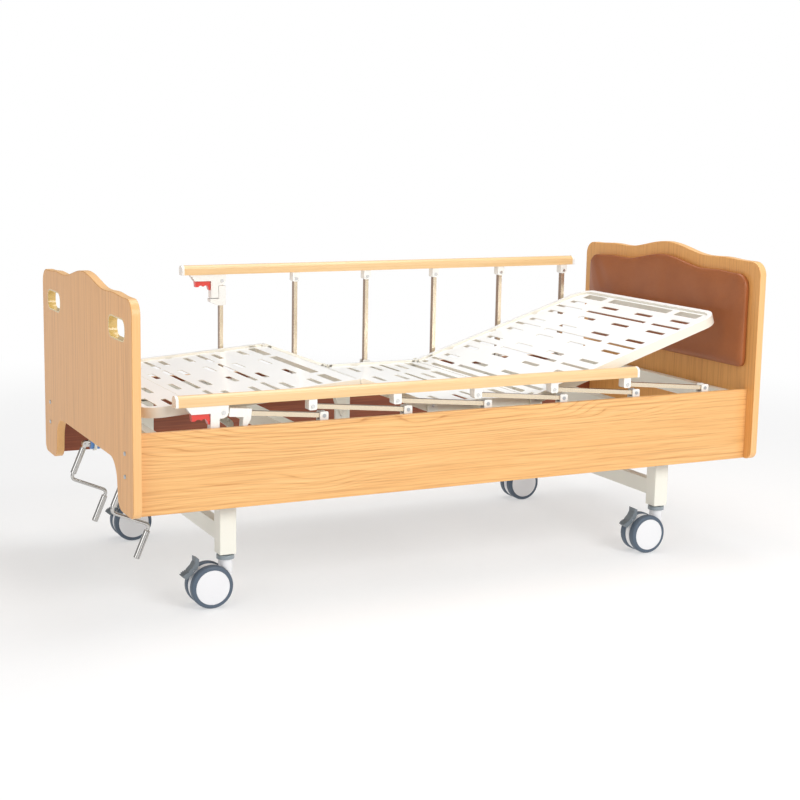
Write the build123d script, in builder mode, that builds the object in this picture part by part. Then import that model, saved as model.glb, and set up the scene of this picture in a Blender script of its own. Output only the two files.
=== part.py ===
from build123d import *
from math import cos, sin, radians
import os

# Hospital bed with a four-section deck, two crank screws, folding side rails and swivel casters.
# Millimetres. Origin on the floor under the middle of the bed; +X foot to head, +Y away, +Z up.

# ---------------------------------------------------------------- driving dimensions
BED_LENGTH = 2120
BOARD_WIDTH = 1000
BOARD_T = 25
BOARD_LOW = 300
FOOT_SHOULDER = 900
HEAD_RISE = 50
PAD_T = 30
PANEL_OUT = 464
PANEL_T = 18
PANEL_LOW = 300
PANEL_TOP = 530
TUBE_LOW = 465
TUBE_TOP = 515
TUBE_IN = 385
TUBE_OUT = 415
LEG_X = (-757, 747)
LEG_Y = 389
LEG_W = 50
LEG_LOW = 152

DECK_HALF = 400
RIM_W = 16
RIM_UP = 8
RIM_DOWN = 22
RIM_IN = DECK_HALF - RIM_W
WALL = 2
SHEET = 2
LIP_HALF = 371
LIP_GAP = 1.5
SLOT_Y = (-300, -100, 100, 300)
PIVOT_Z = 540
BACK_X = 257
HIP_X = -103.5
BACK_TILT = 18
THIGH_TILT = 20.6
THIGH_LEN = 243.4
LEG_RATIO = 0.2
BACK_LEN = 747
LEG_LEN = 669

POST_N = 6
POST_PITCH = 271
POST_X0 = -475
POST_LEN = 308
POST_Z = 541
RAIL_Y = 430
RAIL_FOLD = 84.6
RAIL_DROP = 21.5
RAIL_H = 32
RAIL_W = 34
RAIL_LEFT = 140
RAIL_RIGHT = 44

WHEEL_R = 62.5
HUB_R = 50.5
TRAIL = 50

CRANK_Y = 228
SCREW_Z = 368
FOLD_X = -1000
CRANK_ANGLE = 23
LEVER_R = 130
NUT_X = -860
SLOT_SHIFT = 1.7

STAY_U = 480
STAY_H = -16
STAY_LEN = 88
STAY_PLAY = 8.3
STAY_RATIO = 1.82

os.makedirs("parts", exist_ok=True)


def save(builder, label):
    builder.part.label = label
    export_step(builder.part, f"parts/{label}.step")


def side(x, z, y=0, angle=0):
    """Plane in XZ at a given y: local x turned up by angle from +X, local z towards -Y."""
    a = radians(angle)
    return Plane(origin=(x, y, z), x_dir=(cos(a), 0, sin(a)), z_dir=(0, -1, 0))


def tilted(x, z, direction, angle):
    """Plane of a deck section hinged at (x, z), reaching towards +X or -X and raised by angle."""
    a = radians(angle)
    return Plane(
        origin=(x, 0, z),
        x_dir=(direction * cos(a), 0, sin(a)),
        z_dir=(-direction * sin(a), 0, cos(a)),
    )


def edge_of(plane, y):
    """Vertical plane along a deck section at a given world y; local x runs out, local y is up."""
    u = plane.x_dir
    n = plane.z_dir
    return Plane(origin=plane.origin + Vector(0, y, 0), x_dir=u, z_dir=u.cross(n))


def corner_at(across, height):
    """Test that picks the pair of outline corners at a given distance and height."""
    return lambda v: abs(abs(v.X) - across) < 0.1 and abs(v.Y - height) < 0.1


# ---------------------------------------------------------------- end boards
def board_outline(rise, arch, toe, bend):
    """Face of an end board: two feet, an arch between them and a crowned top edge."""
    top = FOOT_SHOULDER + rise
    half = BOARD_WIDTH / 2
    with BuildSketch() as face:
        with BuildLine():
            Polyline(
                (-430, top), (-half, top), (-half, BOARD_LOW), (-352, BOARD_LOW), (-335, arch),
                (335, arch), (352, BOARD_LOW), (half, BOARD_LOW), (half, top), (430, top),
            )
            Spline(
                (430, top), (320, top + 5), (215, top + 3), (110, top + 20), (0, top + 34),
                (-110, top + 20), (-215, top + 3), (-320, top + 5), (-430, top),
                tangents=((-1, 0), (-1, 0)),
            )
        make_face()
        for across, height, radius in (
            (half, BOARD_LOW, 28), (352, BOARD_LOW, toe), (335, arch, bend), (half, top, 45),
        ):
            fillet(face.vertices().filter_by(corner_at(across, height)), radius)
    return face.sketch


with BuildPart() as footboard:
    with BuildSketch(Plane.YZ.offset(-BED_LENGTH / 2)):
        add(board_outline(0, 437, 40, 70))
        with Locations((-353.5, 808.5), (353.5, 808.5)):
            RectangleRounded(163, 65, 28, mode=Mode.SUBTRACT)
    extrude(amount=BOARD_T)
    rim = footboard.faces().filter_by(Axis.X).edges()
    fillet(rim.filter_by(lambda e: abs(abs(e.center().Y) - 353.5) > 82 or e.center().Z < 770), 2.5)
save(footboard, "footboard")

with BuildPart() as headboard:
    with BuildSketch(Plane.YZ.offset(BED_LENGTH / 2 - BOARD_T)):
        add(board_outline(HEAD_RISE, 350, 28, 40))
    extrude(amount=BOARD_T)
    fillet(headboard.faces().filter_by(Axis.X).edges(), 2.5)
save(headboard, "headboard")

with BuildPart() as handle_liners:
    for y in (-353.5, 353.5):
        with BuildSketch(Plane.YZ.offset(-BED_LENGTH / 2)):
            with Locations((y, 808.5)):
                RectangleRounded(162.8, 64.8, 27.9)
                RectangleRounded(155, 57, 24, mode=Mode.SUBTRACT)
        extrude(amount=BOARD_T)
save(handle_liners, "handle_liners")

with BuildPart() as headboard_pad:
    with BuildSketch(Plane.YZ.offset(BED_LENGTH / 2 - BOARD_T - PAD_T)):
        with BuildLine():
            Polyline((-400, 907), (-450, 907), (-450, 602), (450, 602), (450, 907), (400, 907))
            Spline(
                (400, 907), (310, 911), (212, 909), (110, 925), (0, 939),
                (-110, 925), (-212, 909), (-310, 911), (-400, 907),
                tangents=((-1, 0), (-1, 0)),
            )
        make_face()
    extrude(amount=PAD_T)
    fillet(headboard_pad.edges().filter_by(Axis.X).filter_by(lambda e: e.center().Z > 800), 45)
    fillet(headboard_pad.edges().filter_by(Axis.X).filter_by(lambda e: e.center().Z < 650), 20)
    fillet(headboard_pad.faces().sort_by(Axis.X)[0].edges(), 12)
save(headboard_pad, "headboard_pad")

# ---------------------------------------------------------------- side panels
with BuildPart() as side_panels:
    for sign in (-1, 1):
        with BuildSketch(Plane.XZ.offset(-sign * (PANEL_OUT - PANEL_T / 2))):
            with Locations((0, (PANEL_LOW + PANEL_TOP) / 2)):
                Rectangle(BED_LENGTH - 2 * BOARD_T, PANEL_TOP - PANEL_LOW)
        extrude(amount=PANEL_T / 2, both=True)
    fillet(side_panels.edges().filter_by(Axis.X), 2)
save(side_panels, "side_panels")

# ---------------------------------------------------------------- linkage positions
BACK_PIN = radians(BACK_TILT - 35)
KNEE_PIN = radians(THIGH_TILT - 17)
BACK_PIN_X = BACK_X + LEVER_R * sin(BACK_PIN)
BACK_PIN_Z = PIVOT_Z - LEVER_R * cos(BACK_PIN)
KNEE_PIN_X = HIP_X - LEVER_R * sin(KNEE_PIN)
KNEE_PIN_Z = PIVOT_Z - LEVER_R * cos(KNEE_PIN)

back_plane = tilted(BACK_X, PIVOT_Z, 1, BACK_TILT)
seat_plane = tilted(HIP_X, PIVOT_Z, 1, 0)
thigh_plane = tilted(HIP_X, PIVOT_Z, -1, THIGH_TILT)
KNEE_X = HIP_X - THIGH_LEN * cos(radians(THIGH_TILT))
KNEE_Z = PIVOT_Z + THIGH_LEN * sin(radians(THIGH_TILT))
leg_plane = tilted(KNEE_X, KNEE_Z, -1, -LEG_RATIO * THIGH_TILT)


def stay_ends(thigh):
    """Leg-section stay pin in XZ for a thigh raised by the given angle in degrees."""
    t = radians(thigh)
    a = -LEG_RATIO * t
    kx = HIP_X - THIGH_LEN * cos(t)
    kz = PIVOT_Z + THIGH_LEN * sin(t)
    return kx - STAY_U * cos(a) + STAY_H * sin(a), kz + STAY_U * sin(a) + STAY_H * cos(a)


STAY_FRAME_X = stay_ends(0)[0] + STAY_LEN
STAY_FRAME_Z = stay_ends(0)[1]
STAY_PIN_X, STAY_PIN_Z = stay_ends(THIGH_TILT)
STAY_REST = STAY_RATIO * THIGH_TILT

# ---------------------------------------------------------------- welded frame
with BuildPart() as main_frame:
    for y in (-400, 400):
        with BuildSketch(Plane.YZ):
            with Locations((y, (TUBE_LOW + TUBE_TOP) / 2)):
                Rectangle(TUBE_OUT - TUBE_IN, TUBE_TOP - TUBE_LOW)
                Rectangle(TUBE_OUT - TUBE_IN - 5, TUBE_TOP - TUBE_LOW - 5, mode=Mode.SUBTRACT)
        extrude(amount=1034, both=True)
    for x, width in ((-1019, 30), (-970, 30), (-560, 40), (75, 30), (560, 40), (1019, 30)):
        with Locations((x, 0, (TUBE_LOW + TUBE_TOP) / 2)):
            Box(width, 2 * TUBE_IN, TUBE_TOP - TUBE_LOW)
    for x, z in ((HIP_X, PIVOT_Z), (BACK_X, PIVOT_Z)):
        for y in (-404, 409):
            with BuildSketch(side(x, z, y)):
                Circle(11)
                with Locations((0, (TUBE_TOP - PIVOT_Z) / 2)):
                    Rectangle(34, PIVOT_Z - TUBE_TOP)
                Circle(4.05, mode=Mode.SUBTRACT)
            extrude(amount=5)
    for y in (-376, 383):
        with BuildSketch(side(STAY_FRAME_X, STAY_FRAME_Z, y)):
            Circle(9)
            with Locations((0, -26)):
                Rectangle(18, 52)
        extrude(amount=7)
    for y in (-380.5, 380.5):
        with Locations((STAY_FRAME_X, y, 495)):
            Box(30, 9, 36)
    for y in (-CRANK_Y, CRANK_Y):
        with BuildSketch(Plane.YZ.offset(-974)):
            with Locations((y, SCREW_Z)):
                Circle(24)
            with Locations((y, (SCREW_Z + TUBE_LOW) / 2)):
                Rectangle(48, TUBE_LOW - SCREW_Z)
            with Locations((y, SCREW_Z)):
                Circle(13, mode=Mode.SUBTRACT)
        extrude(amount=8)
    for y in (-362, 383):
        with BuildSketch(side(STAY_FRAME_X, STAY_FRAME_Z, y)):
            Circle(5.5)
        extrude(amount=21)
save(main_frame, "main_frame")

with BuildPart() as leg_frames:
    for x in LEG_X:
        for y in (-LEG_Y, LEG_Y):
            with BuildSketch(Plane.XY.offset(LEG_LOW)):
                with Locations((x, y)):
                    Rectangle(LEG_W, LEG_W)
                    Rectangle(LEG_W - 6, LEG_W - 6, mode=Mode.SUBTRACT)
            extrude(amount=TUBE_LOW - LEG_LOW)
            with BuildSketch(Plane.XY.offset(LEG_LOW)):
                with Locations((x, y)):
                    Rectangle(LEG_W - 6, LEG_W - 6)
                    Circle(10.05, mode=Mode.SUBTRACT)
            extrude(amount=20)
        with Locations((x, 0, 207)):
            Box(30, 2 * (LEG_Y - LEG_W / 2), 50)
    uprights = leg_frames.edges().filter_by(Axis.Z).filter_by(lambda e: e.length > 300)
    fillet(uprights.filter_by(lambda e: abs(e.center().Y) > 360), 3)
save(leg_frames, "leg_frames")

with BuildPart() as board_bolts:
    for x, turn in ((-BED_LENGTH / 2, -1), (BED_LENGTH / 2, 1)):
        for y in (-425, 425):
            for z in (407, 472):
                with BuildSketch(Plane.YZ.offset(x)):
                    with Locations((y, z)):
                        Circle(6.5)
                extrude(amount=turn * 3, taper=20)
save(board_bolts, "board_bolts")

with BuildPart() as base_brackets:
    for y0, y1 in ((-444, -415.2), (415.2, 444)):
        for i in range(POST_N):
            x = POST_X0 + i * POST_PITCH
            mid = (y0 + y1) / 2
            with BuildSketch(side(x, POST_Z, y1)):
                with Locations((0, -6.5)):
                    RectangleRounded(26, 37, 5)
            extrude(amount=y1 - y0)
            with Locations((x, mid, POST_Z + 6)):
                Box(60, 20, 34, mode=Mode.SUBTRACT)
            with BuildSketch(side(x, POST_Z, y1)):
                Circle(3.05)
            extrude(amount=y1 - y0, mode=Mode.SUBTRACT)
save(base_brackets, "base_brackets")

with BuildPart() as frame_pins:
    for y0, y1 in ((-445, -415.4), (415.4, 445)):
        for i in range(POST_N):
            with BuildSketch(side(POST_X0 + i * POST_PITCH, POST_Z, y1)):
                Circle(3)
            extrude(amount=y1 - y0)
            with BuildSketch(side(POST_X0 + i * POST_PITCH, POST_Z, 445.6 if y1 > 0 else -444.1)):
                Circle(5.5)
            extrude(amount=1.5)
    for x in (HIP_X, BACK_X):
        for y0, y1 in ((-412, -388), (388, 412)):
            with BuildSketch(side(x, PIVOT_Z, y1)):
                Circle(4)
            extrude(amount=y1 - y0)
    for x in LEG_X:
        for y in (-LEG_Y, LEG_Y):
            with Locations((x, y, 150)):
                Cylinder(10, 40)
save(frame_pins, "frame_pins")

with BuildPart() as screw_bearings:
    for y in (-CRANK_Y, CRANK_Y):
        with BuildSketch(Plane.YZ.offset(-966)):
            with Locations((y, SCREW_Z)):
                Circle(20)
                Circle(8.05, mode=Mode.SUBTRACT)
        extrude(amount=14)
        with BuildSketch(Plane.YZ.offset(-980)):
            with Locations((y, SCREW_Z)):
                Circle(12.9)
                Circle(8.05, mode=Mode.SUBTRACT)
        extrude(amount=14)
        with BuildSketch(Plane.YZ.offset(-984)):
            with Locations((y, SCREW_Z)):
                Circle(19)
                Circle(8.05, mode=Mode.SUBTRACT)
        extrude(amount=10)
    fillet(screw_bearings.edges().filter_by(GeomType.CIRCLE).filter_by(lambda e: e.radius > 18.5), 3)
save(screw_bearings, "screw_bearings")


# ---------------------------------------------------------------- punched deck sections
def cuts(plane, places, length, width):
    """Rounded cuts through a deck sheet, their long side across the bed."""
    with BuildSketch(plane.offset(-SHEET)) as openings:
        with Locations(*places):
            RectangleRounded(width, length, min(width / 2 - 0.5, 5))
    extrude(openings.sketch, amount=SHEET, dir=plane.z_dir, mode=Mode.SUBTRACT)


def pan(plane, start, end, pairs, singles, long, wide, wide_w, bars, corner=0, axis=0, seam=0):
    """Sheet-steel deck section: a slotted sheet between raised hollow rims, with bars below.

    Distances run from the hinge. The sheet is flush at each hinge end and reaches over it as a lip.
    A far end has either rounded corners under a raised rim, or the next hinge axis.
    """
    end_in = RIM_W if corner else WALL
    length = end - start

    def outline(low, high, half, radius):
        with Locations(((low + high) / 2, 0)):
            shape = Rectangle(high - low, 2 * half)
        if corner:
            fillet(shape.vertices().sort_by(lambda v: plane.to_local_coords(v).X)[-2:], radius)

    with BuildPart() as deck:
        with BuildSketch(plane.offset(-RIM_DOWN)):
            outline(start, end, DECK_HALF, corner)
        extrude(amount=RIM_DOWN + RIM_UP)
        with BuildSketch(plane.offset(-RIM_DOWN)):
            outline(start + WALL, end - end_in, RIM_IN, corner - RIM_W)
        extrude(amount=RIM_DOWN + RIM_UP, mode=Mode.SUBTRACT)
        with BuildSketch(plane):
            with Locations((start, 0), (start if corner else end, 0)):
                Rectangle(3 * WALL, 2 * RIM_IN)
        extrude(amount=RIM_UP, mode=Mode.SUBTRACT)
        with BuildSketch(plane.offset(-RIM_DOWN)):
            with Locations(((start + end) / 2, 0)):
                RectangleRounded(length - 4, 2 * (DECK_HALF - 2), max(corner - 2, 2))
                RectangleRounded(length - 28, 2 * (DECK_HALF - 14), max(corner - 14, 2), mode=Mode.SUBTRACT)
        extrude(amount=RIM_DOWN + RIM_UP - 2, mode=Mode.SUBTRACT)
        with BuildSketch(plane.offset(-SHEET)):
            outline(start, end - end_in + 1, RIM_IN + 1, corner - RIM_W + 1)
            lips = [(LIP_GAP, start + 1)] + ([(end - 1, axis - LIP_GAP)] if axis else [])
            for low, high in lips:
                with Locations(((low + high) / 2, 0)):
                    Rectangle(high - low, 2 * LIP_HALF)
        extrude(amount=SHEET)
        for u in bars:
            with BuildSketch(plane.offset(-RIM_DOWN + 2)):
                with Locations((u, 0)):
                    Rectangle(5, 2 * LIP_HALF)
            extrude(amount=RIM_DOWN - 2 - SHEET)
        rows = [u for pair in pairs for u in pair] + list(singles)
        cuts(plane, [(u, y) for u in rows for y in SLOT_Y], 97, 17)
        for u, width in [(u, 14) for u in long] + [(u, wide_w) for u in wide]:
            reach = 335 if corner and u > end - 120 else 372
            cuts(plane, [(u, 0)], 350, width)
            cuts(plane, [(u, (211 + reach) / 2), (u, -(211 + reach) / 2)], reach - 211, width)
        if pairs:
            with BuildSketch(plane.offset(-SHEET)):
                for low, high in pairs:
                    with Locations(((low + high) / 2, RIM_IN), ((low + high) / 2, -RIM_IN)):
                        Circle(12)
                with Locations(((start + end) / 2, 0)):
                    Rectangle(length, 2 * RIM_IN - 0.2, mode=Mode.INTERSECT)
            extrude(amount=SHEET, mode=Mode.SUBTRACT)
        if seam:
            with BuildSketch(plane):
                with Locations((seam, 0)):
                    Rectangle(1.5, 2 * RIM_IN)
            extrude(amount=-0.8, mode=Mode.SUBTRACT)
    return deck.part


def ears(plane, u, low, high, to, bore):
    """Hinge ears at distance u along a deck, between two heights in world |y|, joined to the rim."""
    with BuildPart() as pair:
        for y0 in (low, -high):
            turn = plane.x_dir.X < 0
            with BuildSketch(edge_of(plane, y0 if turn else y0 + high - low)):
                with Locations((u, 0)):
                    Circle(8.5)
                with Locations(((u + to) / 2, 0)):
                    Rectangle(abs(to - u), 14)
                with Locations((u, 0)):
                    Circle(bore, mode=Mode.SUBTRACT)
            extrude(amount=high - low)
    return pair.part


def lever(plane, pin_u, pin_h, y):
    """Twin lever plates below a deck hinge, holding the cross pin that the screw nut drives."""
    with BuildPart() as arm:
        turn = plane.x_dir.X < 0
        for y0 in (y - 14, y + 8.5):
            with BuildSketch(edge_of(plane, y0 if turn else y0 + 5.5)):
                with Locations((33, -16)):
                    Rectangle(54, 10)
                with Locations((pin_u, pin_h)):
                    Circle(13)
                make_hull()
            extrude(amount=5.5)
        with BuildSketch(edge_of(plane, y - 17 if turn else y + 17)):
            with Locations((pin_u, pin_h)):
                Circle(6)
        extrude(amount=34)
    return arm.part


with BuildPart() as seat_deck:
    add(pan(seat_plane, 10, 350, ((67, 153),), (252,), (201,), (310,), 26, (110, 228), axis=BACK_X - HIP_X))
    for x in (-60, 220):
        for y in (-392, 392):
            with Locations((x, y, 516.5)):
                Box(40, 14, 3)
save(seat_deck, "seat_deck")

with BuildPart() as back_deck:
    add(pan(back_plane, 5, BACK_LEN, ((95, 178), (278, 365), (464, 548)), (649,), (53, 230, 417, 600),
            (706,), 32, (33, 136, 321, 506), corner=72))
    cuts(back_plane, [(17, 0)], 620, 15)
    cuts(back_plane, [(17, 362), (17, -362)], 34, 15)
    add(ears(back_plane, 0, 388, 400, 10, 4.08))
    add(lever(back_plane, -LEVER_R * sin(radians(35)), -LEVER_R * cos(radians(35)), -CRANK_Y))
save(back_deck, "back_deck")

with BuildPart() as thigh_deck:
    add(pan(thigh_plane, 5, THIGH_LEN - 10, (), (42, 192), (92, 142), (), 0, (22, 67, 117, 167, 214),
            axis=THIGH_LEN))
    add(ears(thigh_plane, 0, 388, 400, 10, 4.08))
    add(ears(thigh_plane, THIGH_LEN, 388, 400, THIGH_LEN - 12, 1))
    for y in (-400, 372):
        with BuildSketch(edge_of(thigh_plane, y)):
            with Locations((THIGH_LEN, 0)):
                Circle(4)
        extrude(amount=28)
    add(lever(thigh_plane, -LEVER_R * sin(radians(17)), -LEVER_R * cos(radians(17)), CRANK_Y))
save(thigh_deck, "thigh_deck")

with BuildPart() as leg_deck:
    add(pan(leg_plane, 10, LEG_LEN, ((113, 203), (300, 386), (482, 568)), (), (248, 430), (57, 622), 27,
            (35, 158, 343, 525), corner=62, seam=514))
    add(ears(leg_plane, 0, 374, 386.5, 12, 4.08))
    for y in (-385, 362):
        with BuildSketch(edge_of(leg_plane, y)):
            with Locations((STAY_U, STAY_H)):
                Circle(5.5)
        extrude(amount=23)
save(leg_deck, "leg_deck")

stay_plane = tilted(STAY_FRAME_X, STAY_FRAME_Z, -1, STAY_REST)
with BuildPart() as leg_stays:
    for y in (-375, 367):
        with BuildSketch(edge_of(stay_plane, y)):
            with Locations((0, 0), (STAY_LEN, 0)):
                Circle(11)
            make_hull()
            with Locations((0, 0)):
                Circle(5.56, mode=Mode.SUBTRACT)
            with Locations((STAY_LEN, 0)):
                Circle(STAY_PLAY, mode=Mode.SUBTRACT)
        extrude(amount=8)
save(leg_stays, "leg_stays")

# ---------------------------------------------------------------- screws, nut tubes and cranks
def screw(y):
    """Lead screw with its journal, thrust collars and the fork that carries the crank."""
    with BuildPart() as rod:
        for x0, x1, r in ((-990, -941, 8), (-941, -660, 7), (-952, -944, 14), (-990.5, -984.2, 11)):
            with BuildSketch(Plane.YZ.offset(x0)):
                with Locations((y, SCREW_Z)):
                    Circle(r)
            extrude(amount=x1 - x0)
        for x in [-930 + 20 * i for i in range(13)]:
            with BuildSketch(Plane.YZ.offset(x)):
                with Locations((y, SCREW_Z)):
                    Circle(7.6)
            extrude(amount=4)
        for y0 in (y - 5.3, y + 9.3):
            with BuildSketch(side(FOLD_X, SCREW_Z, y0)):
                Circle(9)
                with Locations((5, 0)):
                    Rectangle(10, 18)
            extrude(amount=4)
        with BuildSketch(side(FOLD_X, SCREW_Z, y + 12)):
            Circle(3)
        extrude(amount=24)
    return rod.part


def nut_tube(y, pin_x):
    """Tube with the screw's nut at one end and an upright slotted plate at the other."""
    end = pin_x - 26
    with BuildPart() as tube:
        with BuildSketch(Plane.YZ.offset(NUT_X)):
            with Locations((y, SCREW_Z)):
                Circle(14)
                Circle(8, mode=Mode.SUBTRACT)
        extrude(amount=40)
        with BuildSketch(Plane.YZ.offset(NUT_X + 40)):
            with Locations((y, SCREW_Z)):
                Circle(14)
                Circle(11, mode=Mode.SUBTRACT)
        extrude(amount=end - NUT_X - 40)
        with BuildSketch(side(pin_x, SCREW_Z, y + 6)):
            with Locations((0, 44)):
                RectangleRounded(52, 120, 6)
            with Locations((SLOT_SHIFT if y < 0 else 0, 57)):
                RectangleRounded(20, 58, 5, mode=Mode.SUBTRACT)
        extrude(amount=12)
    return tube.part


CRANK_DOWN = Vector(-sin(radians(CRANK_ANGLE)), 0, -cos(radians(CRANK_ANGLE)))
CRANK_IN = Vector(cos(radians(CRANK_ANGLE)), 0, -sin(radians(CRANK_ANGLE)))
SLEEVE_LEN = 118
ARM_LEN = 124
GRIP_LEN = 100


def crank(y):
    """Folding crank: eye and sleeve on the fork pin, then a bent rod that carries the grip."""
    pivot = Vector(FOLD_X, y, SCREW_Z)
    knee = pivot + CRANK_DOWN * SLEEVE_LEN
    elbow = knee + CRANK_IN * ARM_LEN
    with BuildPart() as handle:
        with BuildLine():
            end = elbow + CRANK_DOWN * (GRIP_LEN - 4)
            FilletPolyline(pivot + CRANK_DOWN * 20, knee, elbow, end, radius=13)
        with BuildSketch(Plane(origin=pivot + CRANK_DOWN * 20, z_dir=CRANK_DOWN)):
            Circle(5.5)
        sweep()
        with BuildSketch(Plane(origin=pivot + CRANK_DOWN * 14, z_dir=CRANK_DOWN)):
            Circle(9.5)
        extrude(amount=86)
        with BuildSketch(side(pivot.X, pivot.Z, y + 4.5, -CRANK_ANGLE)):
            Circle(8)
            with Locations((0, -10)):
                Rectangle(12, 20)
            Circle(3.06, mode=Mode.SUBTRACT)
        extrude(amount=9)
    return handle.part


def grip(y):
    """Turning sleeve over the crank's last leg."""
    elbow = Vector(FOLD_X, y, SCREW_Z) + CRANK_DOWN * SLEEVE_LEN + CRANK_IN * ARM_LEN
    with BuildPart() as sleeve:
        with BuildSketch(Plane(origin=elbow + CRANK_DOWN * 17, z_dir=CRANK_DOWN)):
            Circle(9.5)
        extrude(amount=GRIP_LEN - 12)
        fillet(sleeve.edges(), 2.5)
        with BuildSketch(Plane(origin=elbow + CRANK_DOWN * 17, z_dir=CRANK_DOWN)):
            Circle(5.57)
        extrude(amount=GRIP_LEN - 20, mode=Mode.SUBTRACT)
    return sleeve.part


for name, y, pin_x in (("back", -CRANK_Y, BACK_PIN_X), ("knee", CRANK_Y, KNEE_PIN_X)):
    for label, part in (
        ("screw", screw(y)), ("nut_tube", nut_tube(y, pin_x)), ("crank", crank(y)), ("grip", grip(y)),
    ):
        with BuildPart() as piece:
            add(part)
        save(piece, f"{name}_{label}")


# ---------------------------------------------------------------- folding side rails
def rail_plane(sign, fold, x, z, y):
    """Side plane through a point given with the rail up, moved to where the folded posts put it."""
    a = radians(fold)
    return side(x - POST_LEN * sin(a), z - POST_LEN * (1 - cos(a)), sign * RAIL_Y + y)


def post(sign, fold, i):
    """Flat upright with a bore at its foot and a riveted pin at its head."""
    plane = side(POST_X0 + i * POST_PITCH, POST_Z, sign * RAIL_Y, fold)
    with BuildPart() as upright:
        with BuildSketch(plane.offset(-9)):
            with Locations((0, 0), (0, POST_LEN)):
                Circle(6.5)
            with Locations((0, POST_LEN / 2)):
                Rectangle(13, POST_LEN)
            Circle(3.06, mode=Mode.SUBTRACT)
        extrude(amount=18)
        for r, low, high in ((3, -15.6, 15.6), (5.5, 15.1, 16.6), (5.5, -16.6, -15.1)):
            with BuildSketch(plane.offset(low)):
                with Locations((0, POST_LEN)):
                    Circle(r)
            extrude(amount=high - low)
    return upright.part


def top_rail(sign, fold):
    """Wooden hand rail with a domed top."""
    x0 = POST_X0 - RAIL_LEFT - POST_LEN * sin(radians(fold))
    z0 = POST_Z + POST_LEN * cos(radians(fold)) + RAIL_DROP
    with BuildPart() as rail:
        with BuildSketch(Plane(origin=(x0 + 8, sign * RAIL_Y, z0), x_dir=(0, 1, 0), z_dir=(1, 0, 0))):
            with BuildLine():
                Polyline((-17, 22), (-17, 0), (17, 0), (17, 22))
                ThreePointArc((17, 22), (0, RAIL_H), (-17, 22))
            make_face()
            fillet(vertices().sort_by(Axis.Z)[:2], 3)
        extrude(amount=RAIL_LEFT + RAIL_RIGHT + (POST_N - 1) * POST_PITCH - 16)
    return rail.part


def rail_fittings(sign, fold):
    """White fittings of a rail: end caps, post brackets and the housing of the latch."""
    plane = rail_plane(sign, fold, POST_X0, POST_Z + POST_LEN, 0)
    low = plane.offset(-14.5)
    with BuildPart() as fittings:
        for u in (-RAIL_LEFT, (POST_N - 1) * POST_PITCH + RAIL_RIGHT - 8):
            corner = plane.origin + Vector(u, 0, RAIL_DROP)
            with BuildSketch(Plane(origin=corner, x_dir=(0, 1, 0), z_dir=(1, 0, 0))):
                with BuildLine():
                    Polyline((-17.4, 22), (-17.4, -0.4), (17.4, -0.4), (17.4, 22))
                    ThreePointArc((17.4, 22), (0, RAIL_H + 0.5), (-17.4, 22))
                make_face()
            extrude(amount=8)
        fillet(fittings.edges().filter_by(Axis.X), 2)
        with BuildSketch(low):
            for i in range(1, POST_N):
                with Locations((i * POST_PITCH, RAIL_DROP - 16)):
                    Rectangle(26, 32)
        extrude(amount=29)
        fillet(fittings.edges().filter_by(Axis.Y).filter_by(lambda e: e.center().Z < plane.origin.Z), 5)
        with BuildSketch(low):
            with BuildLine():
                Polyline(
                    (-110.5, RAIL_DROP), (15, RAIL_DROP), (15, 0), (10, -10.6), (0, -15), (-12, -16),
                    (-12, -57.5), (-38, -57.5), (-38, 0), (-94, 0), close=True,
                )
            make_face()
        extrude(amount=29)
        with BuildSketch(plane.offset(-10)):
            for i in range(POST_N):
                with Locations((i * POST_PITCH + 10, -20)):
                    Rectangle(40, 60)
            with BuildLine():
                Polyline((-125, -2), (-125, 14), (-37.9, 14), (-37.9, -2), close=True)
            make_face()
        extrude(amount=20, mode=Mode.SUBTRACT)
        with BuildSketch(low):
            for i in range(POST_N):
                with Locations((i * POST_PITCH, 0)):
                    Circle(3.06)
        extrude(amount=29, mode=Mode.SUBTRACT)
        with BuildSketch(low):
            with Locations((-44, 6)):
                Circle(2)
        extrude(amount=29)
    return fittings.part


def hook_block(sign, fold):
    """L-shaped latch block clamped on the first post; its foot closes under the housing."""
    pivot = rail_plane(sign, fold, POST_X0, POST_Z + POST_LEN, 0)
    plane = side(pivot.origin.X, pivot.origin.Z, sign * RAIL_Y, fold)
    with BuildPart() as block:
        with BuildSketch(plane.offset(-14.5)):
            with BuildLine():
                Polyline(
                    (-10.5, -17), (14, -17), (14, -83), (-15, -83), (-41, -71), (-41, -60),
                    (-10.5, -60), close=True,
                )
            make_face()
            fillet(vertices().sort_by(Axis.Z)[:2], 2)
        extrude(amount=29)
        with BuildSketch(plane.offset(-9)):
            with Locations((0, -50)):
                Rectangle(13, 120)
        extrude(amount=18, mode=Mode.SUBTRACT)
    return block.part


def trigger(sign, fold):
    """Squeeze trigger with finger scallops, hinged inside the latch housing."""
    plane = rail_plane(sign, fold, POST_X0, POST_Z + POST_LEN, 0)
    with BuildPart() as lever_arm:
        with BuildSketch(plane.offset(-9)):
            with BuildLine():
                Polyline(
                    (-93, -0.6), (-48, -0.6), (-42, -3), (-38.6, -9), (-38.6, -31), (-43.5, -31),
                    (-47, -20), (-52, -15), (-58, -15), (-64, -19), (-70, -15), (-76, -15.5),
                    (-82, -20), (-91, -20), close=True,
                )
            make_face()
            with Locations((-44, 6)):
                Circle(4.5)
            with Locations((-44, 1)):
                Rectangle(9, 10)
            with Locations((-44, 6)):
                Circle(2.06, mode=Mode.SUBTRACT)
        extrude(amount=18)
    return lever_arm.part


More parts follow.
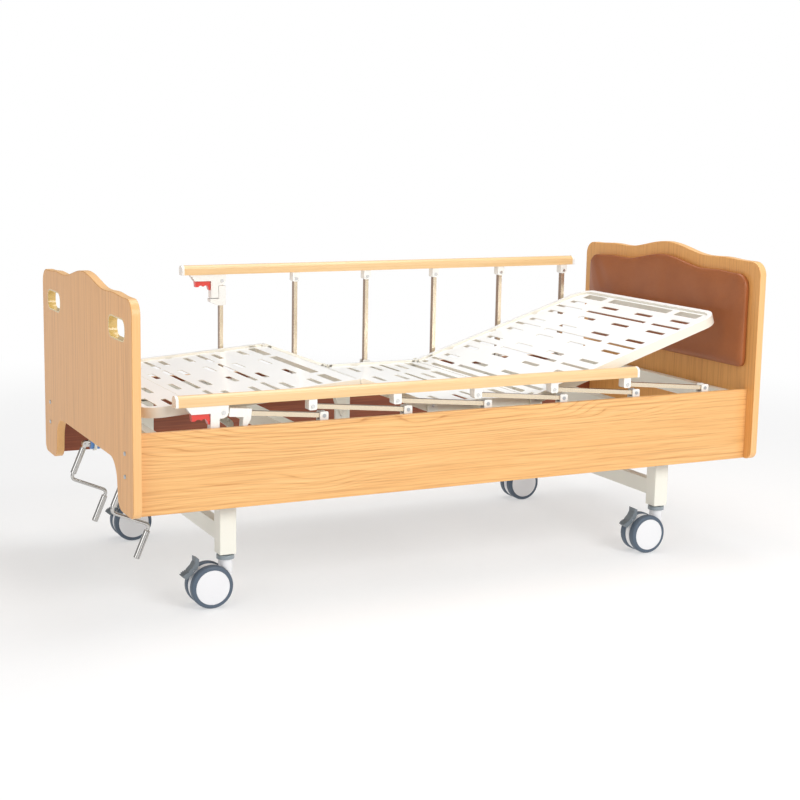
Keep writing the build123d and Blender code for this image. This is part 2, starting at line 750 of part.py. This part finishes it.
for rail_name, sign, fold in (("near", -1, RAIL_FOLD), ("far", 1, 0)):
    for i in range(POST_N):
        with BuildPart() as piece:
            add(post(sign, fold, i))
        save(piece, f"{rail_name}_post_{i + 1}")
    for label, maker in (
        ("rail", top_rail), ("rail_fittings", rail_fittings),
        ("latch_hook", hook_block), ("trigger", trigger),
    ):
        with BuildPart() as piece:
            add(maker(sign, fold))
        save(piece, f"{rail_name}_{label}")


# ---------------------------------------------------------------- casters
def caster_housing(x, y):
    """Fender disc between twin wheels with axle, swivel neck, collar and brake boss."""
    with BuildPart() as housing:
        with Locations((x, y, 112)):
            Cylinder(20.5, 48)
        with BuildSketch(side(x - TRAIL, WHEEL_R, y + 40)):
            Circle(64)
        extrude(amount=30.5, mode=Mode.SUBTRACT)
        with BuildSketch(side(x - TRAIL, WHEEL_R, y - 9.5)):
            Circle(64)
        extrude(amount=30.5, mode=Mode.SUBTRACT)
        with BuildSketch(side(x - TRAIL, WHEEL_R, y + 9)):
            Circle(59.5)
        extrude(amount=18)
        with BuildSketch(side(x - TRAIL, WHEEL_R, y + 30)):
            Circle(6)
        extrude(amount=60)
        with Locations((x, y, 142)):
            Cylinder(26, 12)
        fillet(housing.edges().filter_by(lambda e: e.center().Z > 147.9), 2.5)
        with Locations((x, y, 145)):
            Cylinder(16, 6.2, mode=Mode.SUBTRACT)
        with Locations((x, y, 150)):
            Cylinder(10.06, 44, mode=Mode.SUBTRACT)
        with BuildSketch(side(x - TRAIL, WHEEL_R, y + 6.5, 45)):
            with Locations((0, 63)):
                Rectangle(14, 22)
        extrude(amount=13)
        with BuildSketch(side(x - TRAIL, WHEEL_R, y + 12, 45)):
            with Locations((0, 69)):
                Circle(2.5)
        extrude(amount=24)
    return housing.part


def caster_tyres(x, y):
    """Pair of tyre rings."""
    with BuildPart() as tyres:
        for y1 in (y + 37, y - 10.5):
            with BuildSketch(side(x - TRAIL, WHEEL_R, y1)):
                Circle(WHEEL_R)
                Circle(HUB_R, mode=Mode.SUBTRACT)
            extrude(amount=26.5)
        fillet(tyres.edges().filter_by(GeomType.CIRCLE).filter_by(lambda e: e.radius > HUB_R + 1), 7)
    return tyres.part


def caster_hubs(x, y):
    """Pair of closed hub discs that run on the axle."""
    with BuildPart() as hubs:
        for y1 in (y + 38, y - 10.5):
            with BuildSketch(side(x - TRAIL, WHEEL_R, y1)):
                Circle(HUB_R)
            extrude(amount=27.5)
        outer = hubs.edges().filter_by(GeomType.CIRCLE).filter_by(lambda e: abs(e.center().Y - y) > 37)
        fillet(outer, 2)
        with BuildSketch(side(x - TRAIL, WHEEL_R, y + 31)):
            Circle(6.06)
        extrude(amount=62, mode=Mode.SUBTRACT)
    return hubs.part


def caster_pedal(x, y):
    """Saddle-shaped brake pedal rocking on the housing's boss, with grip ribs on its lower half."""
    plane = side(x - TRAIL, WHEEL_R, y, 45)
    with BuildPart() as pedal:
        with BuildSketch(plane.offset(-15)):
            with BuildLine():
                Polyline(
                    (-33, 68.5), (-35, 83), (-26, 85), (-12, 80), (6, 80), (20, 84), (30, 94),
                    (34, 82), (22, 70), (10, 65.5), (-10, 65.5), (-22, 67), close=True,
                )
            make_face()
        extrude(amount=30)
        with BuildSketch(plane.offset(-8)):
            with Locations((0, 66)):
                Rectangle(21, 22)
        extrude(amount=16, mode=Mode.SUBTRACT)
        with BuildSketch(plane.offset(-15)):
            with Locations((-30, 85.2), (-24.5, 85), (-19, 83.4), (-13.5, 81.3)):
                Rectangle(2.6, 6)
        extrude(amount=30, mode=Mode.SUBTRACT)
        with BuildSketch(plane.offset(-15)):
            with Locations((0, 69)):
                Circle(2.56)
        extrude(amount=30, mode=Mode.SUBTRACT)
    return pedal.part


for x, end in zip(LEG_X, ("foot", "head")):
    for y, hand in ((-LEG_Y, "near"), (LEG_Y, "far")):
        for label, maker in (
            ("housing", caster_housing), ("tyres", caster_tyres),
            ("hubs", caster_hubs), ("pedal", caster_pedal),
        ):
            with BuildPart() as piece:
                add(maker(x, y))
            save(piece, f"{end}_{hand}_caster_{label}")
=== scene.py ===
import bpy
import math
from mathutils import Matrix, Vector


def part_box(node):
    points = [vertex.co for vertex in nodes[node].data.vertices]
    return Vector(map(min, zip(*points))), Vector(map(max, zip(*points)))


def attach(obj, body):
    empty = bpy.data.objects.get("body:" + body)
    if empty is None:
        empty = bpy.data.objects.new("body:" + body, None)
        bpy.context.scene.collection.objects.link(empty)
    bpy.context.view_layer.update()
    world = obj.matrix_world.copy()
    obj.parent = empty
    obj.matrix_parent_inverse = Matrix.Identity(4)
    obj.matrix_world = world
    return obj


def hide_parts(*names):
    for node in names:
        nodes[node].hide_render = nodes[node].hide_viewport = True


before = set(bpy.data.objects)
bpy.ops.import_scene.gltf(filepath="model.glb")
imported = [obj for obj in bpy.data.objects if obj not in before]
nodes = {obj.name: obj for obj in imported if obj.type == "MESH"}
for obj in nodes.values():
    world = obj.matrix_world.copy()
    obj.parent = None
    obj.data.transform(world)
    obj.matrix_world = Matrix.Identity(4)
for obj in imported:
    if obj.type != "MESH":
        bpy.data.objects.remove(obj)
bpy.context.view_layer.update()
scene = bpy.context.scene

# Finishes that change part of the way across a CAD node, in metres.
PANEL_FACE = 0.016          # thickness of a side panel's wood grain, in front of its bare back
RIVET_OUT = 0.015           # from the middle plane of a rail post out to its rivet heads
COLLAR_H = 0.012            # height of the dust collar at the top of a caster neck

# The leather pad. Its two depths are parts of the CAD pad's thickness, from its back to its face.
PAD_VOXEL = 0.006           # mesh size, in metres
PINNED_DEPTH = 0.72         # the board holds the leather up to this depth
START_DEPTH = 0.84          # the pad is flattened to this depth, and the pressure swells its face from there
CLOTH_FRAMES = 24
CLOTH = {
    "quality": 5,
    "mass": 0.35,
    "tension_stiffness": 18,
    "compression_stiffness": 18,
    "shear_stiffness": 8,
    "bending_stiffness": 2,
    "use_pressure": True,
    "uniform_pressure_force": 3.0,
    "vertex_group_mass": "pins",
}
CLOTH_GRAVITY = 0.3
SMOOTH_FACTOR = 0.6
SMOOTH_ROUNDS = 40

# The floor, in metres. Part of it, NEAR_GLOW, glows white within FADE_START of its middle, and all of it does
# beyond FADE_END.
FLOOR_HALF = 30
FLOOR_DROP = 0.0005
FADE_START = 1.6
FADE_END = 4.5
NEAR_GLOW = 0.45

# Light from the room, seen only in reflections and shading: dim from below, brighter from above.
ROOM = {"From Min": -0.1, "From Max": 0.7, "To Min": 0.2, "To Max": 0.52}

# The camera, in metres. Its angles are in degrees: from +Y towards +X, then down, then the roll. The sensor
# and the lens are in millimetres, the shift in picture widths.
CAMERA_AT = (-2.1787, -4.2824, 1.3406)
CAMERA_YAW = 25.2
CAMERA_PITCH = 9.1
CAMERA_ROLL = 0.8
SENSOR_WIDTH = 36
CAMERA_LENS = 66.9
CAMERA_SHIFT = (0.0534, -0.0344)


# ---------------------------------------------------------------- node material helpers
class Graph:
    """Small wrapper that builds one procedural material."""

    def __init__(self, name):
        self.mat = bpy.data.materials.new(name)
        self.mat.use_nodes = True
        self.tree = self.mat.node_tree
        self.bsdf = next(n for n in self.tree.nodes if n.type == "BSDF_PRINCIPLED")
        self.coord = self.tree.nodes.new("ShaderNodeTexCoord")

    def node(self, kind, **values):
        n = self.tree.nodes.new("ShaderNode" + kind)
        for key, value in values.items():
            if key in n.inputs:
                self.put(n.inputs[key], value)
            else:
                setattr(n, key, value)
        return n

    def put(self, socket, value):
        if isinstance(value, bpy.types.NodeSocket):
            self.tree.links.new(value, socket)
        else:
            socket.default_value = value

    def math(self, op, a, b=0.0, c=0.0):
        n = self.tree.nodes.new("ShaderNodeMath")
        n.operation = op
        for socket, value in zip(n.inputs, (a, b, c)):
            self.put(socket, value)
        return n.outputs[0]

    def mapped(self, scale, location=(0, 0, 0)):
        n = self.node("Mapping", Vector=self.coord.outputs["Object"])
        n.inputs["Scale"].default_value = scale
        n.inputs["Location"].default_value = location
        return n.outputs[0]

    def noise(self, vector, detail=3.0, rough=0.5):
        n = self.node("TexNoise", Vector=vector, Scale=1.0, Detail=detail, Roughness=rough)
        return n.outputs[0]

    def ramp(self, fac, *stops):
        n = self.tree.nodes.new("ShaderNodeValToRGB")
        self.put(n.inputs[0], fac)
        while len(n.color_ramp.elements) < len(stops):
            n.color_ramp.elements.new(0.5)
        for element, (position, colour) in zip(n.color_ramp.elements, stops):
            element.position = position
            element.color = (*colour, 1.0)
        return n.outputs[0]

    def mix(self, fac, a, b):
        n = self.tree.nodes.new("ShaderNodeMix")
        n.data_type = "RGBA"
        colours = [s for s in n.inputs if s.type == "RGBA"]
        self.put(n.inputs[0], fac)
        for socket, value in zip(colours, (a, b)):
            self.put(socket, value if isinstance(value, bpy.types.NodeSocket) else (*value, 1.0))
        return next(s for s in n.outputs if s.type == "RGBA")

    def mask(self, value, low, high):
        """0 below low, 1 above high."""
        n = self.node("MapRange", interpolation_type="SMOOTHSTEP")
        self.put(n.inputs["Value"], value)
        n.inputs["From Min"].default_value = low
        n.inputs["From Max"].default_value = high
        return n.outputs[0]

    def step(self, value, at, soft):
        """0 below a place and 1 above it, changing over a narrow band around it."""
        return self.mask(value, at - soft, at + soft)

    def axis(self, source, name):
        n = self.node("SeparateXYZ", Vector=self.coord.outputs[source])
        return n.outputs[name]

    def size_of(self, source, name):
        """A coordinate or normal component without its sign."""
        return self.math("ABSOLUTE", self.axis(source, name))

    def bump(self, height, strength, distance=0.0003):
        n = self.node("Bump", Height=height, Strength=strength, Distance=distance)
        self.put(self.bsdf.inputs["Normal"], n.outputs[0])

    def finish(self, colour, rough, metal=0.0, coat=0.0, spec=0.5):
        self.put(self.bsdf.inputs["Base Color"], colour)
        self.put(self.bsdf.inputs["Roughness"], rough)
        self.bsdf.inputs["Metallic"].default_value = metal
        self.bsdf.inputs["Coat Weight"].default_value = coat
        self.bsdf.inputs["Coat Roughness"].default_value = 0.12
        self.bsdf.inputs["Specular IOR Level"].default_value = spec
        return self.mat


def srgb(r, g, b):
    """Linear colour from display values 0 to 255."""
    return tuple(((v / 255 + 0.055) / 1.055) ** 2.4 if v > 10 else v / 255 / 12.92 for v in (r, g, b))


def drawn_out(axis, across, along):
    """Texture scale that is finer across an axis than along it."""
    scale = [across, across, across]
    scale["XYZ".index(axis)] = along
    return scale


def wood(name, colours, grain, across, bands, seed, figure, rough=0.4, coat=0.1, tint=None):
    """Laminate wood: bands of growth rings across the board, bent by slow noise, under fine fibres.

    colours are the light, middle and dark tones. grain is the axis that the fibres follow, across the axis
    that the bands are counted along, bands their number per metre and figure how strongly they show.
    """
    light, mid, dark = colours
    g = Graph(name)
    drift = g.noise(g.mapped(drawn_out(grain, 5.0, 0.9), (seed, seed * 1.7, seed * 0.6)), 2.5)
    waver = g.noise(g.mapped(drawn_out(grain, 30.0, 3.0), (seed, 0, seed)), 2.0)
    height = g.axis("Object", across)
    phase = g.math("MULTIPLY_ADD", height, bands, g.math("MULTIPLY", drift, bands * 0.28))
    rings = g.math("FRACT", g.math("MULTIPLY_ADD", waver, 0.9, phase))
    tone = g.ramp(rings, (0.0, mid), (0.35, light), (0.8, mid), (0.93, dark), (1.0, mid))
    strength = g.math("MULTIPLY", g.mask(drift, 0.35, 0.6), figure)
    tone = g.mix(strength, mid, tone)
    fibres = g.noise(g.mapped(drawn_out(grain, 170.0, 2.2), (seed, 0, seed)), 3.0, 0.62)
    tone = g.mix(0.42, tone, g.ramp(fibres, (0.36, dark), (0.5, mid), (0.66, light)))
    pores = g.noise(g.mapped(drawn_out(grain, 800.0, 14.0)), 2.0, 0.6)
    tone = g.mix(0.16, tone, g.ramp(pores, (0.34, dark), (0.6, light)))
    if tint:
        tone = tint(g, tone)
    g.bump(g.math("ADD", g.math("MULTIPLY", fibres, 0.4), pores), 0.1)
    return g.finish(tone, g.math("MULTIPLY_ADD", pores, 0.14, rough - 0.07), coat=coat)


def plain(name, colour, rough=0.4, metal=0.0, coat=0.0, speck=0.06, grain=240.0, bump=0.05, tint=None):
    """Painted, moulded or metal surface with slight tone, gloss and height variation."""
    g = Graph(name)
    fine = g.noise(g.mapped((grain, grain, grain)))
    cloud = g.noise(g.mapped((5, 5, 5)), 2.0)
    darker = tuple(c * (1 - speck) for c in colour)
    tone = g.mix(cloud, darker, colour)
    if tint:
        tone = tint(g, tone)
    g.bump(fine, bump)
    roughness = g.math("MULTIPLY_ADD", fine, 0.12, rough - 0.06)
    return g.finish(tone, roughness, metal, coat)


def dress(material, *patterns):
    """Give a material to every CAD node that is called one of the patterns, alone or after an underscore."""
    for name, obj in nodes.items():
        if any(name == pattern or name.endswith("_" + pattern) for pattern in patterns):
            obj.data.materials.clear()
            obj.data.materials.append(material)


# ---------------------------------------------------------------- wood
def board_edges(g, tone):
    """Edge banding: a lighter, straight-grained strip wherever the surface doesn't face along X."""
    facing = g.size_of("Normal", "X")
    streak = g.noise(g.mapped((900, 900, 4)), 2.0)
    strip = g.ramp(streak, (0.3, srgb(234, 180, 116)), (0.7, srgb(245, 195, 134)))
    return g.mix(g.mask(facing, 0.5, 0.7), strip, tone)


def panel_back_and_shade(g, tone):
    """The bare reddish back of a side panel, which faces the middle of the bed; its dark tone is partly
    painted shade.
    """
    face_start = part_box("side_panels")[1][1] - PANEL_FACE
    outside = g.step(g.size_of("Object", "Y"), face_start, 0.001)
    streak = g.noise(g.mapped((6, 60, 160)))
    # The back's reddish colours are darkened in part as painted shade, for the shade under the deck.
    back = g.ramp(streak, (0.3, srgb(132, 66, 40)), (0.7, srgb(160, 86, 52)))
    return g.mix(outside, back, tone)


beech = (srgb(238, 180, 108), srgb(228, 166, 94), srgb(184, 118, 56))
oak = (srgb(246, 198, 134), srgb(238, 181, 112), srgb(186, 118, 56))
pale_wood = (srgb(242, 208, 158), srgb(236, 198, 144), srgb(220, 174, 116))
dress(wood("beech board", beech, "Z", "Y", 30, 3.0, 0.5, tint=board_edges), "footboard", "headboard")
dress(wood("oak panel", oak, "X", "Z", 74, 7.0, 0.95, tint=panel_back_and_shade), "side_panels")
dress(wood("rail wood", pale_wood, "X", "Y", 20, 11.0, 0.2, rough=0.32, coat=0.25), "rail")
dress(plain("liner", srgb(214, 182, 112), 0.25, coat=0.4), "handle_liners")


# ---------------------------------------------------------------- paint and metal
def shaded_rim_sides(g, tone):
    """Painted shade: the deck's faces that don't look up, mostly its rims, turn a shaded ivory, the sheet's
    top stays white.
    """
    up = g.size_of("Normal", "Z")
    return g.mix(g.mask(up, 0.2, 0.8), srgb(240, 235, 221), tone)


def post_shaded_sides(g, tone):
    """The narrow sides of a post are painted darker than its polished face as painted shade, its rivet heads
    are pale steel.
    """
    face = g.size_of("Normal", "Y")
    # Painted shade on the post's narrow sides.
    tone = g.mix(g.mask(face, 0.3, 0.7), srgb(150, 126, 108), tone)
    low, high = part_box("far_post_1")
    middle = (low[1] + high[1]) / 2
    offset = g.math("ABSOLUTE", g.math("SUBTRACT", g.size_of("Object", "Y"), middle))
    return g.mix(g.step(offset, RIVET_OUT, 0.0002), tone, srgb(226, 226, 224))


ivory = plain("ivory paint", srgb(242, 240, 228), 0.35, coat=0.25, grain=500.0, bump=0.08)
dress(ivory, "main_frame", "leg_frames", "leg_stays", "nut_tube")
white = plain("deck paint", srgb(252, 252, 250), coat=0.2, grain=500.0, bump=0.08, tint=shaded_rim_sides)
dress(white, "seat_deck", "back_deck", "thigh_deck", "leg_deck")
chrome = plain("chrome", srgb(205, 203, 200), 0.16, metal=1.0, speck=0.1, bump=0.02)
dress(chrome, "screw", "crank", "grip")
steel = plain("steel", srgb(196, 198, 200), 0.3, metal=1.0, speck=0.15)
dress(steel, "frame_pins", "board_bolts")
aluminium = plain(
    "champagne aluminium", srgb(238, 222, 196), 0.22, metal=0.75, speck=0.12, bump=0.03, tint=post_shaded_sides,
)
dress(aluminium, *(f"post_{number}" for number in range(1, 7)))


# ---------------------------------------------------------------- plastic and rubber
def moulded(name, colour, rough=0.3, coat=0.3, tint=None):
    """Smooth, slightly glossy moulded plastic."""
    return plain(name, colour, rough, coat=coat, bump=0.03, tint=tint)


def collar(g, tone):
    """Grey dust collar at the top of a caster neck."""
    collar_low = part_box("foot_near_caster_housing")[1][2] - COLLAR_H
    return g.mix(g.step(g.axis("Object", "Z"), collar_low, 0.0003), tone, srgb(140, 150, 156))


dress(moulded("white plastic", srgb(246, 245, 240), 0.28), "base_brackets", "rail_fittings", "latch_hook")
dress(moulded("red plastic", srgb(226, 66, 56), coat=0.35), "trigger")
dress(moulded("blue plastic", srgb(86, 140, 206)), "screw_bearings")
dress(moulded("caster body", srgb(240, 240, 242), tint=collar), "caster_housing")
dress(moulded("hub disc", srgb(238, 238, 240)), "caster_hubs")
dress(plain("tyre", srgb(88, 102, 118), 0.5, grain=320.0, bump=0.12, speck=0.2), "caster_tyres")
dress(plain("pedal", srgb(116, 124, 130), 0.5, grain=320.0, bump=0.1), "caster_pedal")


# ---------------------------------------------------------------- leather pad
def leather():
    """Tanned leather with a fine net of creases, painted darker in them as painted shade."""
    g = Graph("leather")
    cells = g.node("TexVoronoi", feature="DISTANCE_TO_EDGE")
    g.put(cells.inputs["Vector"], g.mapped((330, 330, 330)))
    cells.inputs["Scale"].default_value = 1.0
    crease = g.mask(cells.outputs["Distance"], 0.0, 0.22)
    fine = g.noise(g.mapped((900, 900, 900)), 4.0, 0.6)
    cloud = g.noise(g.mapped((7, 7, 7)))
    tone = g.ramp(cloud, (0.25, srgb(156, 87, 42)), (0.75, srgb(173, 101, 53)))
    # Painted shade: the creases are darkened towards a deep brown.
    depth = g.math("MULTIPLY", g.math("SUBTRACT", 1.0, crease), 0.35)
    tone = g.mix(depth, tone, srgb(120, 62, 28))
    g.bump(g.math("ADD", crease, g.math("MULTIPLY", fine, 0.3)), 0.25, 0.0005)
    return g.finish(tone, g.math("MULTIPLY_ADD", fine, 0.14, 0.36), coat=0.08)


def bake(obj):
    """Apply an object's modifiers to its mesh."""
    result = bpy.data.meshes.new_from_object(obj.evaluated_get(bpy.context.evaluated_depsgraph_get()))
    obj.modifiers.clear()
    obj.data = result


def blow_up(pad):
    """Let the pad's face swell under pressure as cloth, held where it is pinned."""
    cloth = pad.modifiers.new("cloth", "CLOTH")
    for name, value in CLOTH.items():
        setattr(cloth.settings, name, value)
    cloth.settings.effector_weights.gravity = CLOTH_GRAVITY
    cloth.collision_settings.use_collision = False
    for number in range(1, CLOTH_FRAMES + 1):
        scene.frame_set(number)
    bake(pad)
    scene.frame_set(1)


def pad_piece():
    """The headboard pad: leather over foam, its sides held by the board, its face swollen and smoothed."""
    pad = bpy.data.objects.new("leather_pad", nodes["headboard_pad"].data.copy())
    scene.collection.objects.link(pad)
    low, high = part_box("headboard_pad")
    back, front = high[0], low[0]
    remesh = pad.modifiers.new("even", "REMESH")
    remesh.mode = "VOXEL"
    remesh.voxel_size = PAD_VOXEL
    bake(pad)
    deep = back - front
    pins = pad.vertex_groups.new(name="pins")
    face = pad.vertex_groups.new(name="face")
    for v in pad.data.vertices:
        depth = (back - v.co.x) / deep
        (pins if depth < PINNED_DEPTH else face).add([v.index], 1.0, "REPLACE")
        v.co.x = back - min(depth, 1.0) * deep * START_DEPTH
    blow_up(pad)
    for v in pad.data.vertices:
        v.co.x = max(v.co.x, front)
    smooth = pad.modifiers.new("smooth", "SMOOTH")
    smooth.factor = SMOOTH_FACTOR
    smooth.iterations = SMOOTH_ROUNDS
    smooth.vertex_group = "face"
    bake(pad)
    pad.data.materials.clear()
    pad.data.materials.append(leather())
    for p in pad.data.polygons:
        p.use_smooth = True
    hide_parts("headboard_pad")
    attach(pad, "frame")


pad_piece()


# ---------------------------------------------------------------- floor and room
def pale_floor():
    """Pale grey that takes soft shadows near the bed and turns into glowing white further out."""
    g = Graph("pale floor")
    reach = g.node("VectorMath", operation="LENGTH")
    g.put(reach.inputs[0], g.coord.outputs["Object"])
    grit = g.noise(g.mapped((30, 30, 30)), 2.0)
    g.finish(g.mix(grit, (0.93, 0.93, 0.93), (0.96, 0.96, 0.96)), 0.7, spec=0.15)
    glow = g.node("Emission", Color=(1.0, 1.0, 1.0, 1.0), Strength=1.0)
    fade = g.node("MixShader")
    far_off = g.mask(reach.outputs["Value"], FADE_START, FADE_END)
    g.put(fade.inputs[0], g.math("MULTIPLY_ADD", far_off, 1.0 - NEAR_GLOW, NEAR_GLOW))
    g.put(fade.inputs[1], g.bsdf.outputs[0])
    g.put(fade.inputs[2], glow.outputs[0])
    output = next(n for n in g.tree.nodes if n.type == "OUTPUT_MATERIAL")
    g.put(output.inputs["Surface"], fade.outputs[0])
    return g.mat


def lay_floor():
    """A wide square, a little under the tyres."""
    corners = [(x * FLOOR_HALF, y * FLOOR_HALF, 0) for x, y in ((-1, -1), (1, -1), (1, 1), (-1, 1))]
    mesh = bpy.data.meshes.new("floor")
    mesh.from_pydata(corners, [], [(0, 1, 2, 3)])
    mesh.materials.append(pale_floor())
    floor = bpy.data.objects.new("floor", mesh)
    scene.collection.objects.link(floor)
    floor.location.z = -FLOOR_DROP


def light_room():
    """Plain white behind the bed for the camera, and a gradient from floor to ceiling for everything else."""
    world = bpy.data.worlds.new("studio")
    scene.world = world
    world.use_nodes = True
    tree = world.node_tree
    backdrop = tree.nodes["Background"]
    backdrop.inputs[0].default_value = (1.0, 1.0, 1.0, 1.0)
    ray = tree.nodes.new("ShaderNodeLightPath")
    direction = tree.nodes.new("ShaderNodeTexCoord")
    upward = tree.nodes.new("ShaderNodeSeparateXYZ")
    tree.links.new(direction.outputs["Generated"], upward.inputs[0])
    room = tree.nodes.new("ShaderNodeMapRange")
    for name, value in ROOM.items():
        room.inputs[name].default_value = value
    tree.links.new(upward.outputs["Z"], room.inputs["Value"])
    level = tree.nodes.new("ShaderNodeMapRange")
    level.inputs["To Max"].default_value = 1.0
    tree.links.new(room.outputs[0], level.inputs["To Min"])
    tree.links.new(ray.outputs["Is Camera Ray"], level.inputs["Value"])
    tree.links.new(level.outputs[0], backdrop.inputs[1])


def lamp(name, at, towards, size, power):
    """Square area lamp; places and size in metres, power in watts."""
    data = bpy.data.lights.new(name, "AREA")
    data.shape = "SQUARE"
    data.size = size
    data.energy = power
    obj = bpy.data.objects.new(name, data)
    scene.collection.objects.link(obj)
    obj.location = at
    aim = Vector(towards) - Vector(at)
    obj.rotation_euler = aim.to_track_quat("-Z", "Y").to_euler()


lay_floor()
light_room()
lamp("key", at=(1.2, -4.6, 3.2), towards=(0.0, 0.0, 0.5), size=2.4, power=150)
lamp("fill", at=(-4.5, -2.5, 2.2), towards=(0.0, 0.0, 0.6), size=3.0, power=50)
lamp("top", at=(0.6, 0.6, 4.2), towards=(0.0, 0.0, 0.5), size=2.6, power=78)


# ---------------------------------------------------------------- camera
def place_camera():
    """Long-lens view from beyond the foot end, on the near side."""
    data = bpy.data.cameras.new("camera")
    data.sensor_width = SENSOR_WIDTH
    data.lens = CAMERA_LENS
    data.shift_x, data.shift_y = CAMERA_SHIFT
    data.clip_end = 100
    camera = bpy.data.objects.new("camera", data)
    scene.collection.objects.link(camera)
    yaw = math.radians(CAMERA_YAW)
    pitch = math.radians(CAMERA_PITCH)
    roll = math.radians(CAMERA_ROLL)
    ahead = Vector((math.sin(yaw) * math.cos(pitch), math.cos(yaw) * math.cos(pitch), -math.sin(pitch)))
    level_right = Vector((math.cos(yaw), -math.sin(yaw), 0))
    level_up = level_right.cross(ahead)
    right = level_right * math.cos(roll) + level_up * math.sin(roll)
    up = level_up * math.cos(roll) - level_right * math.sin(roll)
    pose = Matrix((right, up, -ahead)).transposed().to_4x4()
    pose.translation = Vector(CAMERA_AT)
    camera.matrix_world = pose
    scene.camera = camera


place_camera()
scene.view_settings.view_transform = "Standard"
